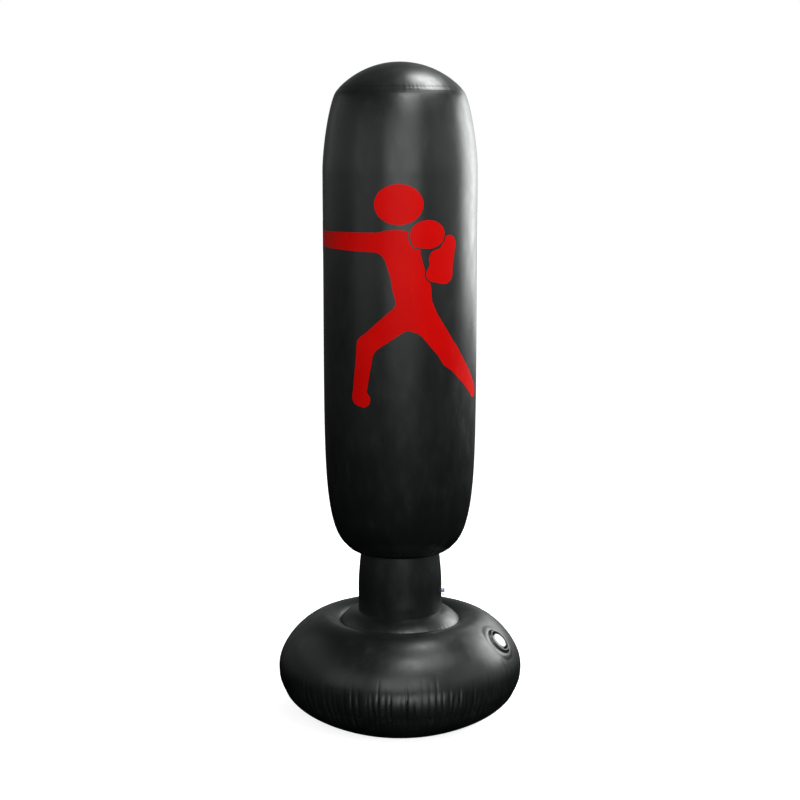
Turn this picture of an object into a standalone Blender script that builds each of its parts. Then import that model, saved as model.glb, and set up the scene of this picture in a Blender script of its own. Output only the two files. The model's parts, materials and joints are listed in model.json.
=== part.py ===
"""Free-standing inflatable punching tower.

A ring-shaped base that is filled with water, a short flexible neck and a
tall striking column, all welded from PVC film, with a screw-capped water
filler in the base and a stopper air valve in the neck.

Metres, +Z up. The origin is the centre of the base's flat underside.
"""
import math

import bmesh
import bpy
from mathutils import Matrix, Vector

# ---- film and welds ----
TOTAL_HEIGHT = 1.600
FILM = 0.0006
WELD_WIDTH = 0.006
CLEARANCE = 0.0003
TURN_STEPS = 36

# ---- neck and collar ----
NECK_RADIUS = 0.1025
NECK_TAPER = 0.0065
NECK_HEIGHT = 0.142
NECK_FULLNESS = 1.6
LEAN_RISE = 0.098
COLLAR_WIDTH = 0.0445
COLLAR_DROP = 0.026
BULGE_POWER = 1.8

# ---- base ring ----
BASE_RADIUS = 0.2992
BASE_HEIGHT = 0.2595
WIDEST_HEIGHT = 0.1411
SEAM_DROP = 0.0581
CREST_INSET = 0.0376
CREST_RISE = 0.0115
FOOT_INSET = 0.0305
SIDE_POWER = 1.63
TOP_POWER = 1.55
FOOT_POWER = 2.91

# ---- striking column ----
COLUMN_RADIUS = 0.1847
DOME_RISE = 0.0626
SHOULDER_INSET = 0.0382
SHOULDER_HEIGHT = 0.1916
SHOULDER_POWER = 1.54
FLOOR_SEAM_INSET = 0.050
TAPER_POWER = 8.22
CORNER_POWER = 5.2

# ---- water ----
WATER_FREEBOARD = 0.0211
WATER_MARGIN = 0.0015
WATER_FOOT = 0.97

# ---- water filler, lengths along its own axis from the film outwards ----
FILLER_AZIMUTH = math.radians(-21.9)
FILLER_SHARE = 0.65
FLANGE_WIDTH = 0.0075
FLANGE_BEVEL = 0.0036
FLANGE_DEPTH = 0.0125
RECESS_WIDTH = 0.0052
RECESS_DEPTH = 0.0105
BORE_RADIUS = 0.0115
SPOUT_WALL = 0.0035
SPOUT_HEIGHT = -0.0015
SPOUT_DEPTH = 0.0225
SPOUT_FOOT_WIDTH = 0.007
SPOUT_FOOT_THICKNESS = 0.0013
CAP_OVERHANG = 0.001
CAP_FIT = 0.0004
CAP_TOP = 0.0034
CAP_SKIRT_WALL = 0.0026
CAP_SKIRT_DEPTH = 0.0077
CAP_RIM_HEIGHT = 0.0055
CAP_EDGE = 0.0015
SEAL_THICKNESS = 0.0015
TETHER_THICKNESS = 0.002
TETHER_HEIGHT = 0.002
TETHER_RISE = 0.0006
STRAP_RADIUS = 0.0008
STRAP_START = math.radians(60)
STRAP_SWEEP = math.radians(120)
HOLE_ABOVE = 0.020
HOLE_BELOW = 0.030
VALVE_STEPS = 24
HOLE_STEPS = 32

# ---- air valve, lengths along its own axis from the film outwards ----
AIR_RISE = 0.044
AIR_BORE = 0.0036
AIR_WALL = 0.0014
AIR_STEM_LENGTH = 0.0055
AIR_STEM_DEPTH = 0.009
AIR_FLANGE_WIDTH = 0.007
AIR_FLANGE_THICKNESS = 0.0012
PLUG_OVERHANG = 0.0015
PLUG_HEAD_THICKNESS = 0.0022
PLUG_SHANK = 0.005
PLUG_EDGE = 0.001
AIR_STRAP_RADIUS = 0.0009
AIR_STRAP_DROP = 0.0045
FLAP_THICKNESS = 0.0008
FLAP_MARGIN = 0.0008
AIR_HOLE_REACH = 0.010
AIR_STEPS = 16

# ---- places that follow from the sizes ----
RING_RADIUS = NECK_RADIUS + COLLAR_WIDTH
RING_HEIGHT = BASE_HEIGHT - CREST_RISE
NECK_BOTTOM = RING_HEIGHT + COLLAR_DROP
NECK_TOP_RADIUS = NECK_RADIUS - NECK_TAPER
CREST_RADIUS = RING_RADIUS + CREST_INSET
FOOT_RADIUS = RING_RADIUS + FOOT_INSET
COLUMN_FLOOR = NECK_BOTTOM + NECK_HEIGHT
DOME_SEAM_HEIGHT = TOTAL_HEIGHT - DOME_RISE
DOME_SEAM_RADIUS = COLUMN_RADIUS - SHOULDER_INSET
SHOULDER_BOTTOM = DOME_SEAM_HEIGHT - SHOULDER_HEIGHT
FLOOR_SEAM_RADIUS = COLUMN_RADIUS - FLOOR_SEAM_INSET
SEAM_SHARE = SEAM_DROP / WIDEST_HEIGHT
WATER_LEVEL = WIDEST_HEIGHT - WATER_FREEBOARD
LAYER = FILM + CLEARANCE
SPOUT_RADIUS = BORE_RADIUS + SPOUT_WALL
CAP_BORE = SPOUT_RADIUS + CAP_FIT
CAP_SKIRT_RADIUS = CAP_BORE + CAP_SKIRT_WALL
CAP_RADIUS = CAP_SKIRT_RADIUS + CAP_OVERHANG
CAP_UNDERSIDE = SPOUT_HEIGHT + SEAL_THICKNESS + 2 * CLEARANCE
TETHER_BORE = CAP_SKIRT_RADIUS + CLEARANCE
TETHER_RADIUS = TETHER_BORE + TETHER_THICKNESS
RECESS_RADIUS = TETHER_RADIUS + RECESS_WIDTH
FLANGE_RADIUS = RECESS_RADIUS + FLANGE_WIDTH
AIR_HEIGHT = NECK_BOTTOM + AIR_RISE
AIR_RADIUS = AIR_BORE + AIR_WALL
AIR_FLANGE_RADIUS = AIR_RADIUS + AIR_FLANGE_WIDTH
PLUG_HEAD_RADIUS = AIR_RADIUS + PLUG_OVERHANG
LEAN_HEIGHT = NECK_BOTTOM + LEAN_RISE


# ---- scene, materials and modifiers ----
def clear_scene():
    for obj in list(bpy.data.objects):
        bpy.data.objects.remove(obj, do_unlink=True)


def new_collection(name):
    collection = bpy.data.collections.new(name)
    bpy.context.scene.collection.children.link(collection)
    return collection


def material(name, colour, roughness):
    made = bpy.data.materials.new(name)
    made.use_nodes = True
    shader = made.node_tree.nodes["Principled BSDF"]
    shader.inputs["Base Color"].default_value = (*colour, 1.0)
    shader.inputs["Roughness"].default_value = roughness
    return made


def empty_at(name, location, axis=None):
    """An empty on a joint's axis; its own Z axis turns towards axis."""
    empty = bpy.data.objects.new(name, None)
    if axis is not None:
        empty.rotation_euler = Vector(axis).to_track_quat("Z", "X").to_euler()
    empty.location = location
    TOWER.objects.link(empty)
    return empty


def piece(name, mesh, look, parent=None, offset=(0.0, 0.0, 0.0)):
    obj = bpy.data.objects.new(name, mesh)
    mesh.materials.append(look)
    obj.parent = parent
    obj.location = offset
    TOWER.objects.link(obj)
    return obj


def turned(name, profile, look, steps=TURN_STEPS, closed=False, film=None, parent=None,
           offset=(0.0, 0.0, 0.0)):
    """A profile of (radius, height) points, turned about its own Z axis."""
    edges = [(i, i + 1) for i in range(len(profile) - 1)]
    if closed:
        edges.append((len(profile) - 1, 0))
    mesh = bpy.data.meshes.new(name)
    mesh.from_pydata([(radius, 0.0, height) for radius, height in profile], edges, [])
    obj = piece(name, mesh, look, parent, offset)
    screw = obj.modifiers.new("turn", "SCREW")
    screw.steps = steps
    screw.render_steps = steps
    screw.use_merge_vertices = True
    screw.merge_threshold = 0.00001
    screw.use_smooth_shade = True
    if film:
        solidify = obj.modifiers.new("film", "SOLIDIFY")
        solidify.thickness = film
        solidify.offset = -1.0
        solidify.use_even_offset = True
    return obj


def tube(name, points, radius, look, parent):
    """A round cord along a smooth list of points, with closed ends."""
    curve = bpy.data.curves.new(name, "CURVE")
    curve.dimensions = "3D"
    curve.bevel_depth = radius
    curve.bevel_resolution = 2
    curve.use_fill_caps = True
    spline = curve.splines.new("POLY")
    spline.points.add(len(points) - 1)
    for target, point in zip(spline.points, points):
        target.co = (*point, 1.0)
    curve.materials.append(look)
    obj = bpy.data.objects.new(name, curve)
    obj.parent = parent
    TOWER.objects.link(obj)
    return obj


def drill(target, name, radius, low, high, parent, steps):
    """Cuts a round hole through target, along the parent's Z axis."""
    mesh = bpy.data.meshes.new(name)
    cutter_mesh = bmesh.new()
    middle = Matrix.Translation((0.0, 0.0, (low + high) / 2))
    bmesh.ops.create_cone(cutter_mesh, cap_ends=True, segments=steps, radius1=radius,
                          radius2=radius, depth=high - low, matrix=middle)
    cutter_mesh.to_mesh(mesh)
    cutter_mesh.free()
    cutter = bpy.data.objects.new(name, mesh)
    cutter.parent = parent
    cutter.hide_render = True
    cutter.display_type = "WIRE"
    CUTTERS.objects.link(cutter)
    cut = target.modifiers.new(name, "BOOLEAN")
    cut.operation = "DIFFERENCE"
    cut.solver = "EXACT"
    cut.object = cutter


# ---- outlines, as (radius, height) points ----
def spread(start, end, count):
    return [start + (end - start) * i / (count - 1) for i in range(count)]


def base_top(angle):
    """The base's outline from its crest (angle 0) out to its widest (a quarter turn)."""
    radius = CREST_RADIUS + (BASE_RADIUS - CREST_RADIUS) * math.sin(angle) ** (2 / SIDE_POWER)
    height = WIDEST_HEIGHT + (BASE_HEIGHT - WIDEST_HEIGHT) * math.cos(angle) ** (2 / TOP_POWER)
    return radius, height


def base_side(drop):
    """The base's outline below its widest: drop is 0 there and 1 on the floor."""
    radius = FOOT_RADIUS + (BASE_RADIUS - FOOT_RADIUS) * (1 - drop ** FOOT_POWER)
    return radius, WIDEST_HEIGHT * (1 - drop)


def base_lip(share):
    """From the ring weld (share 0) up to the base's crest (share 1)."""
    radius = RING_RADIUS + CREST_INSET * share
    return radius, RING_HEIGHT + CREST_RISE * (1 - (1 - share) ** BULGE_POWER)


def collar_outline(share):
    """From the foot of the neck (share 0) out to the ring weld (share 1)."""
    radius = NECK_RADIUS + COLLAR_WIDTH * share
    return radius, NECK_BOTTOM - COLLAR_DROP * share ** BULGE_POWER


def shoulder(angle):
    """The column's outline from the dome seam (angle 0) to its full radius."""
    power = 2 / SHOULDER_POWER
    radius = DOME_SEAM_RADIUS + SHOULDER_INSET * math.sin(angle) ** power
    return radius, DOME_SEAM_HEIGHT - SHOULDER_HEIGHT * (1 - math.cos(angle) ** power)


def column_side(angle):
    """The column's outline from its shoulder (angle 0) round its lower corner."""
    radius = COLUMN_RADIUS * math.cos(angle) ** (2 / CORNER_POWER)
    drop = math.sin(angle) ** (2 / TAPER_POWER)
    return radius, SHOULDER_BOTTOM + (COLUMN_FLOOR - SHOULDER_BOTTOM) * drop


def column_angle(radius):
    """The angle at which column_side has come in to radius."""
    return math.acos((radius / COLUMN_RADIUS) ** (CORNER_POWER / 2))


def neck_outline(share):
    """From the top of the neck (share 0) down to its foot, fullest below the middle."""
    top = column_side(column_angle(NECK_TOP_RADIUS))[1]
    fullness = math.sin(math.pi / 2 * min(1.0, NECK_FULLNESS * share))
    return NECK_TOP_RADIUS + NECK_TAPER * fullness, top + (NECK_BOTTOM - top) * share


def weld_under(points):
    """Adds the flange that turns in under a panel's lower edge."""
    radius, height = points[-1]
    height += CLEARANCE / 2
    return [*points[:-1], (radius, height), (radius - WELD_WIDTH, height)]


def weld_over(points):
    """Adds the flange that turns in over a panel's upper edge."""
    radius, height = points[0]
    height -= CLEARANCE / 2
    return [(radius - WELD_WIDTH, height), (radius, height), *points[1:]]


# ---- the base ----
def make_base_upper_panel(look, filler):
    lip = [base_lip(share) for share in (0.0, 0.2, 0.5)]
    top = [base_top(angle) for angle in spread(0.0, math.pi / 2, 8)]
    side = [base_side(SEAM_SHARE * share) for share in (0.45, 0.75, 1.0)]
    fin = (RING_RADIUS, RING_HEIGHT - WELD_WIDTH)
    outline = weld_under([fin, *lip, *top, *side])
    panel = turned("base_upper_panel", outline, look, film=FILM)
    drill(panel, "filler_hole_cutter", FLANGE_RADIUS + CLEARANCE, -HOLE_BELOW, HOLE_ABOVE,
          filler, HOLE_STEPS)


def make_base_lower_panel(look):
    below = 1 - SEAM_SHARE
    side = [base_side(SEAM_SHARE + below * share) for share in (0.0, 0.3, 0.6, 0.85, 1.0)]
    turned("base_lower_panel", [*weld_over(side), (0.0, 0.0)], look, film=FILM)


def make_collar_panel(look):
    outline = weld_over([collar_outline(share) for share in (0.0, 0.25, 0.5, 0.75, 1.0)])
    inner = RING_RADIUS - FILM - 2 * CLEARANCE
    height = outline.pop()[1]
    outline += [(inner, height), (inner, height - WELD_WIDTH)]
    turned("collar_panel", outline, look, film=FILM)


def make_baffle_sleeve(look):
    """The wall inside the base that keeps the water ring apart from the air."""
    outer = RING_RADIUS - CLEARANCE
    outline = [(outer, RING_HEIGHT - CLEARANCE), (outer, LAYER)]
    turned("base_baffle_sleeve", outline, look, film=FILM)


def make_water(look):
    """The filling: it follows the film inside the ring up to the water level."""
    inset = WELD_WIDTH + WATER_MARGIN
    inner = RING_RADIUS + WATER_MARGIN
    top = 1 - WATER_LEVEL / WIDEST_HEIGHT
    bottom = FILM + WATER_MARGIN
    sides = [base_side(drop) for drop in spread(top, WATER_FOOT, 7)]
    outline = [(radius - inset, max(height, bottom)) for radius, height in sides]
    outline += [(inner, bottom), (inner, WATER_LEVEL)]
    turned("water_ballast", outline, look, closed=True)


# ---- the water filler ----
def filler_axis():
    """The filler's centre on the film, and the film's outward direction there."""
    angle = math.asin(FILLER_SHARE ** (SIDE_POWER / 2))
    radius, height = base_top(angle)
    up = (height - WIDEST_HEIGHT) / (BASE_HEIGHT - WIDEST_HEIGHT)
    slope_out = SIDE_POWER * FILLER_SHARE ** (SIDE_POWER - 1) / (BASE_RADIUS - CREST_RADIUS)
    slope_up = TOP_POWER * up ** (TOP_POWER - 1) / (BASE_HEIGHT - WIDEST_HEIGHT)
    turn = Matrix.Rotation(FILLER_AZIMUTH, 3, "Z")
    centre = turn @ Vector((radius, 0.0, height))
    return centre, (turn @ Vector((slope_out, 0.0, slope_up))).normalized()


def make_filler_flange(look, filler):
    hole = SPOUT_RADIUS + CLEARANCE
    outline = [(RECESS_RADIUS, 0.0), (FLANGE_RADIUS, -FLANGE_BEVEL),
               (FLANGE_RADIUS, -FLANGE_DEPTH), (hole, -FLANGE_DEPTH),
               (hole, -RECESS_DEPTH), (RECESS_RADIUS, -RECESS_DEPTH)]
    turned("filler_flange", outline, look, VALVE_STEPS, closed=True, parent=filler)


def make_filler_spout(look, filler):
    foot_top = -FLANGE_DEPTH - CLEARANCE
    foot_bottom = foot_top - SPOUT_FOOT_THICKNESS
    foot_radius = SPOUT_RADIUS + SPOUT_FOOT_WIDTH
    outline = [(SPOUT_RADIUS, SPOUT_HEIGHT), (SPOUT_RADIUS, foot_top),
               (foot_radius, foot_top), (foot_radius, foot_bottom),
               (SPOUT_RADIUS, foot_bottom), (SPOUT_RADIUS, -SPOUT_DEPTH),
               (BORE_RADIUS, -SPOUT_DEPTH), (BORE_RADIUS, SPOUT_HEIGHT)]
    turned("filler_spout", outline, look, VALVE_STEPS, closed=True, parent=filler)


def make_filler_seal(look, filler):
    bottom = SPOUT_HEIGHT + CLEARANCE
    inner = BORE_RADIUS + CLEARANCE
    outer = SPOUT_RADIUS - CLEARANCE
    outline = [(outer, bottom + SEAL_THICKNESS), (outer, bottom),
               (inner, bottom), (inner, bottom + SEAL_THICKNESS)]
    turned("filler_seal", outline, look, VALVE_STEPS, closed=True, parent=filler)


def make_filler_cap(look, filler):
    top = CAP_UNDERSIDE + CAP_TOP
    rim = top - CAP_RIM_HEIGHT
    outline = [(0.0, top), (CAP_RADIUS - CAP_EDGE, top), (CAP_RADIUS, top - CAP_EDGE),
               (CAP_RADIUS, rim), (CAP_SKIRT_RADIUS, rim),
               (CAP_SKIRT_RADIUS, -CAP_SKIRT_DEPTH), (CAP_BORE, -CAP_SKIRT_DEPTH),
               (CAP_BORE, CAP_UNDERSIDE), (0.0, CAP_UNDERSIDE)]
    turned("filler_cap", outline, look, VALVE_STEPS, parent=filler)


def make_filler_tether(look, filler):
    """A ring round the cap's skirt, and the strap that lies in the recess."""
    bottom = TETHER_RISE - CAP_SKIRT_DEPTH
    top = bottom + TETHER_HEIGHT
    outline = [(TETHER_RADIUS, top), (TETHER_RADIUS, bottom), (TETHER_BORE, bottom),
               (TETHER_BORE, top)]
    turned("filler_tether_ring", outline, look, VALVE_STEPS, closed=True, parent=filler)
    start = TETHER_RADIUS + CLEARANCE + STRAP_RADIUS
    end = RECESS_RADIUS - CLEARANCE - 1.5 * STRAP_RADIUS
    height = (bottom + top) / 2
    points = []
    for share in spread(0.0, 1.0, 13):
        angle = STRAP_START + STRAP_SWEEP * share
        radius = start + (end - start) * share
        points.append((radius * math.cos(angle), radius * math.sin(angle), height))
    tube("filler_tether_strap", points, STRAP_RADIUS, look, filler)


# ---- the neck and its air valve ----
def make_neck_tube(look, lean, valve):
    outline = [neck_outline(share) for share in (0.0, 0.15, 0.3, 0.45, 0.6, 0.8, 1.0)]
    offset = (0.0, 0.0, -LEAN_HEIGHT)
    neck = turned("neck_tube", weld_under(weld_over(outline)), look, film=FILM,
                  parent=lean, offset=offset)
    drill(neck, "air_hole_cutter", AIR_RADIUS + CLEARANCE, -AIR_HOLE_REACH, AIR_HOLE_REACH,
          valve, AIR_STEPS)


def air_flange_face():
    """How far in the flat flange sits, to clear the curved film at its rim."""
    inside = NECK_RADIUS - FILM
    sagitta = inside - math.sqrt(inside ** 2 - AIR_FLANGE_RADIUS ** 2)
    return -FILM - sagitta - 4 * CLEARANCE


def make_air_stem(look, valve):
    face = air_flange_face()
    back = face - AIR_FLANGE_THICKNESS
    outline = [(AIR_RADIUS, AIR_STEM_LENGTH), (AIR_RADIUS, face),
               (AIR_FLANGE_RADIUS, face), (AIR_FLANGE_RADIUS, back),
               (AIR_RADIUS, back), (AIR_RADIUS, -AIR_STEM_DEPTH),
               (AIR_BORE, -AIR_STEM_DEPTH), (AIR_BORE, AIR_STEM_LENGTH)]
    turned("air_valve_stem", outline, look, AIR_STEPS, closed=True, parent=valve)


def make_air_plug(look, valve):
    head = AIR_STEM_LENGTH + CLEARANCE
    shank = AIR_BORE - CLEARANCE
    top = head + PLUG_HEAD_THICKNESS
    outline = [(0.0, top), (PLUG_HEAD_RADIUS - PLUG_EDGE, top),
               (PLUG_HEAD_RADIUS, head + PLUG_HEAD_THICKNESS / 2),
               (PLUG_HEAD_RADIUS, head), (shank, head),
               (shank, head - PLUG_SHANK), (0.0, head - PLUG_SHANK)]
    turned("air_valve_plug", outline, look, AIR_STEPS, parent=valve)


def make_air_strap(look, valve):
    """The loop from the stem's side out and back to the plug's rim."""
    gap = CLEARANCE + AIR_STRAP_RADIUS
    low = LAYER + 2 * AIR_STRAP_RADIUS
    high = AIR_STEM_LENGTH + CLEARANCE + PLUG_HEAD_THICKNESS / 2
    middle = (low + high) / 2
    bend = (high - low) / 2
    level = PLUG_HEAD_RADIUS + gap
    points = [(-AIR_RADIUS - gap, 0.0, low), (-level, 0.0, low)]
    for angle in spread(-math.pi / 2, math.pi / 2, 9):
        reach = level + AIR_STRAP_DROP * math.cos(angle)
        points.append((-reach, 0.0, middle + bend * math.sin(angle)))
    del points[2]
    tube("air_valve_strap", points, AIR_STRAP_RADIUS, look, valve)


def make_air_flap(look, hinge):
    """The disc that closes the stem's inner end; it hangs from its top edge."""
    radius = AIR_BORE + FLAP_MARGIN
    outline = [(0.0, 0.0), (radius, 0.0), (radius, -FLAP_THICKNESS), (0.0, -FLAP_THICKNESS)]
    turned("air_valve_flap", outline, look, AIR_STEPS, parent=hinge, offset=(-radius, 0.0, 0.0))


# ---- the striking column ----
def make_column(look, lean):
    offset = (0.0, 0.0, -LEAN_HEIGHT)
    seam = column_angle(FLOOR_SEAM_RADIUS)
    neck = column_angle(NECK_TOP_RADIUS)
    top = [shoulder(angle) for angle in spread(0.0, math.pi / 2, 8)]
    side = [column_side(seam * share) for share in (0.06, 0.18, 0.34, 0.5, 0.67, 0.84, 1.0)]
    turned("column_wall", weld_under(weld_over([*top, *side])), look, film=FILM,
           parent=lean, offset=offset)
    floor = [column_side(angle) for angle in spread(seam, neck, 4)]
    rim, height = floor[0]
    floor[0] = (rim, height - CLEARANCE / 2)
    floor.insert(0, (rim - WELD_WIDTH, height - CLEARANCE / 2))
    turned("column_floor_panel", weld_under(floor), look, film=FILM, parent=lean, offset=offset)


def make_dome(look, lean):
    ball = (DOME_SEAM_RADIUS ** 2 + DOME_RISE ** 2) / (2 * DOME_RISE)
    edge = math.asin(DOME_SEAM_RADIUS / ball)
    outline = [(ball * math.sin(angle), TOTAL_HEIGHT - ball * (1 - math.cos(angle)))
               for angle in spread(0.0, edge, 6)]
    turned("column_dome", weld_under(outline), look, film=FILM, parent=lean,
           offset=(0.0, 0.0, -LEAN_HEIGHT))


def make_tower():
    black = material("black_film", (0.012, 0.014, 0.014), 0.38)
    weld = material("valve_grey", (0.10, 0.11, 0.11), 0.45)
    white = material("valve_white", (0.85, 0.86, 0.86), 0.35)
    clear = material("valve_clear", (0.62, 0.66, 0.78), 0.30)
    rubber = material("seal_rubber", (0.03, 0.03, 0.03), 0.70)
    water = material("water", (0.35, 0.50, 0.55), 0.05)

    lean = empty_at("lean_pivot", (0.0, 0.0, LEAN_HEIGHT))
    filler = empty_at("filler_axis", *filler_axis())
    valve = empty_at("air_valve_axis", (NECK_RADIUS, 0.0, AIR_HEIGHT), (1.0, 0.0, 0.0))
    hinge_offset = AIR_BORE + FLAP_MARGIN
    flap = empty_at("flap_hinge", (hinge_offset, 0.0, -AIR_STEM_DEPTH - CLEARANCE))
    flap.parent = valve

    make_base_lower_panel(black)
    make_base_upper_panel(black, filler)
    make_baffle_sleeve(black)
    make_collar_panel(black)
    make_water(water)
    make_filler_flange(weld, filler)
    make_filler_spout(white, filler)
    make_filler_seal(rubber, filler)
    make_filler_cap(white, filler)
    make_filler_tether(weld, filler)
    make_neck_tube(black, lean, valve)
    make_air_stem(clear, valve)
    make_air_plug(clear, valve)
    make_air_strap(clear, valve)
    make_air_flap(clear, flap)
    make_column(black, lean)
    make_dome(black, lean)


clear_scene()
TOWER = new_collection("punching_tower")
CUTTERS = new_collection("cutters")
make_tower()
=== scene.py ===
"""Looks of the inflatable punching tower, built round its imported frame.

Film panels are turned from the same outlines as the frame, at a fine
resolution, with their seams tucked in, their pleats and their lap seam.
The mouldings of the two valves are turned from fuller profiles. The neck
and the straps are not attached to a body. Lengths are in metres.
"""

import json
import math
import random

import bpy
import numpy as np
from mathutils import Matrix, Vector
from mathutils.bvhtree import BVHTree


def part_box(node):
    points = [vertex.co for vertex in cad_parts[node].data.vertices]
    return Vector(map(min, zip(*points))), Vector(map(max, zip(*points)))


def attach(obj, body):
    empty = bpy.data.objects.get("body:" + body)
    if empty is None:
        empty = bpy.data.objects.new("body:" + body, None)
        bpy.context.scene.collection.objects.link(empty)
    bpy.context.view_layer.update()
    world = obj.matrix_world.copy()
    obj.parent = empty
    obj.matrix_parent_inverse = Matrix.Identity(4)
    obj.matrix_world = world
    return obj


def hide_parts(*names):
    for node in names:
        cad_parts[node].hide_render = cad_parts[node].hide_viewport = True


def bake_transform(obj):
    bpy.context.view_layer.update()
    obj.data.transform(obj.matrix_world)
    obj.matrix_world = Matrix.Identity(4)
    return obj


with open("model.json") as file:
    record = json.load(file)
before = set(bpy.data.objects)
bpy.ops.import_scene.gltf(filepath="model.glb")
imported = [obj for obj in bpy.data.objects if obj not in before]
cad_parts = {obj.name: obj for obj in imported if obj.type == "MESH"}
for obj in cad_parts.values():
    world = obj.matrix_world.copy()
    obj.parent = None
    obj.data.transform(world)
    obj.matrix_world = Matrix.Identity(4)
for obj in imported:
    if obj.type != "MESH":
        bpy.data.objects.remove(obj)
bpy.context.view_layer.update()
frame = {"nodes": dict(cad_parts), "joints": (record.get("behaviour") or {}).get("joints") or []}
TAU = 2 * math.pi

# ---- sizes read from the frame ----
BASE_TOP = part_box("base_upper_panel")[1]
DOME_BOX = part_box("column_dome")
NECK_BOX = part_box("neck_tube")
COLLAR_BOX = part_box("collar_panel")
JOINTS = {joint["name"]: joint for joint in frame["joints"]}
FILM = 0.0006
CLEARANCE = 0.0003
NECK_RADIUS = NECK_BOX[1].x
NECK_BOTTOM = COLLAR_BOX[1].z + CLEARANCE / 2
NECK_TOP = NECK_BOX[1].z + CLEARANCE / 2
BASE_RADIUS = BASE_TOP.x
BASE_HEIGHT = BASE_TOP.z
BASE_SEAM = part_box("base_lower_panel")[1].z + CLEARANCE / 2
TOTAL_HEIGHT = DOME_BOX[1].z
DOME_RADIUS = DOME_BOX[1].x
DOME_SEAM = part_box("column_wall")[1].z + CLEARANCE / 2
COLUMN_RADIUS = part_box("column_wall")[1].x
FLOOR_SEAM_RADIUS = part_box("column_floor_panel")[1].x
LEAN_HEIGHT = JOINTS["lean_fore_aft"]["pos_m"][2]
FILLER_CENTRE = Vector(JOINTS["cap_turn"]["pos_m"])
FILLER_AXIS = Vector(JOINTS["cap_turn"]["axis"])
AIR_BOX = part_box("air_valve_stem")

# ---- outline constants shared with the design ----
NECK_TAPER = 0.0065
NECK_FULLNESS = 1.6
COLLAR_WIDTH = 0.0445
CREST_INSET = 0.0376
CREST_RISE = 0.0115
FOOT_INSET = 0.0305
WIDEST_HEIGHT = 0.1411
COLUMN_FLOOR = NECK_BOTTOM + 0.142
SHOULDER_HEIGHT = 0.1916
BULGE_POWER = 1.8
SIDE_POWER, TOP_POWER, FOOT_POWER = 1.63, 1.55, 2.91
SHOULDER_POWER, TAPER_POWER, CORNER_POWER = 1.54, 8.22, 5.2
RING_RADIUS = NECK_RADIUS + COLLAR_WIDTH
RING_HEIGHT = BASE_HEIGHT - CREST_RISE
CREST_RADIUS = RING_RADIUS + CREST_INSET
FOOT_RADIUS = RING_RADIUS + FOOT_INSET
SHOULDER_INSET = COLUMN_RADIUS - DOME_RADIUS
SHOULDER_BOTTOM = DOME_SEAM - SHOULDER_HEIGHT


# ---- outlines, as arrays of (radius, height), from the top down ----
def base_top(angle):
    out = np.sin(angle) ** (2 / SIDE_POWER)
    up = np.cos(angle) ** (2 / TOP_POWER)
    radius = CREST_RADIUS + (BASE_RADIUS - CREST_RADIUS) * out
    return np.stack([radius, WIDEST_HEIGHT + (BASE_HEIGHT - WIDEST_HEIGHT) * up], 1)


def base_side(drop):
    radius = FOOT_RADIUS + (BASE_RADIUS - FOOT_RADIUS) * (1 - drop ** FOOT_POWER)
    return np.stack([radius, WIDEST_HEIGHT * (1 - drop)], 1)


def base_lip(share):
    height = RING_HEIGHT + CREST_RISE * (1 - (1 - share) ** BULGE_POWER)
    return np.stack([RING_RADIUS + CREST_INSET * share, height], 1)


def collar_outline(share):
    height = NECK_BOTTOM - (NECK_BOTTOM - RING_HEIGHT) * share ** BULGE_POWER
    return np.stack([NECK_RADIUS + COLLAR_WIDTH * share, height], 1)


def shoulder(angle):
    power = 2 / SHOULDER_POWER
    radius = DOME_RADIUS + SHOULDER_INSET * np.sin(angle) ** power
    height = DOME_SEAM - SHOULDER_HEIGHT * (1 - np.cos(angle) ** power)
    return np.stack([radius, height], 1)


def column_side(angle):
    radius = COLUMN_RADIUS * np.cos(angle) ** (2 / CORNER_POWER)
    drop = np.sin(angle) ** (2 / TAPER_POWER)
    return np.stack([radius, SHOULDER_BOTTOM + (COLUMN_FLOOR - SHOULDER_BOTTOM) * drop], 1)


def column_angle(radius):
    return math.acos((radius / COLUMN_RADIUS) ** (CORNER_POWER / 2))


def neck_outline(share):
    full = np.sin(math.pi / 2 * np.minimum(1.0, NECK_FULLNESS * share))
    radius = NECK_RADIUS - NECK_TAPER + NECK_TAPER * full
    return np.stack([radius, NECK_TOP + (NECK_BOTTOM - NECK_TOP) * share], 1)


def dome_outline(share):
    rise = TOTAL_HEIGHT - DOME_SEAM
    ball = (DOME_RADIUS ** 2 + rise ** 2) / (2 * rise)
    angle = share * math.asin(DOME_RADIUS / ball)
    return np.stack([ball * np.sin(angle), TOTAL_HEIGHT - ball * (1 - np.cos(angle))], 1)


def run_along(points):
    """Distance along an outline to each of its points."""
    return np.r_[0, np.cumsum(np.hypot(*np.diff(points, axis=0).T))]


def run_from(points, row):
    """Distance along the outline from one of its points, as a column."""
    along = run_along(points)
    return np.abs(along - along[row])[:, None]


def respaced(points, count, crowd=1.0):
    """The same outline with count points, crowded towards its end where crowd is above 1."""
    along = run_along(points)
    share = np.linspace(0, 1, count)
    if crowd > 1:
        share = 1 - (1 - share) ** crowd
    return np.stack([np.interp(share * along[-1], along, points[:, k]) for k in (0, 1)], 1)


def outward(points):
    """Unit normals of an outline that runs from the top down its outer side."""
    slope = np.gradient(points, axis=0)
    normal = np.stack([-slope[:, 1], slope[:, 0]], 1)
    return normal / np.linalg.norm(normal, axis=1)[:, None]


# ---- mesh making ----
WELD = 0.006
SEAM_REACH = 0.014
POLE = 1e-9
SMOOTH_BELOW = math.radians(38)
CORD_SIDES = 14
CORD_CAP = 0.6
CORD_TIP = 0.55
ANY_WAY = (0.31, 0.17, 0.93)
FINEST_GAP = 1 / 40
OUT, UP = (1.0, 0.0), (0.0, 1.0)


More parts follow.
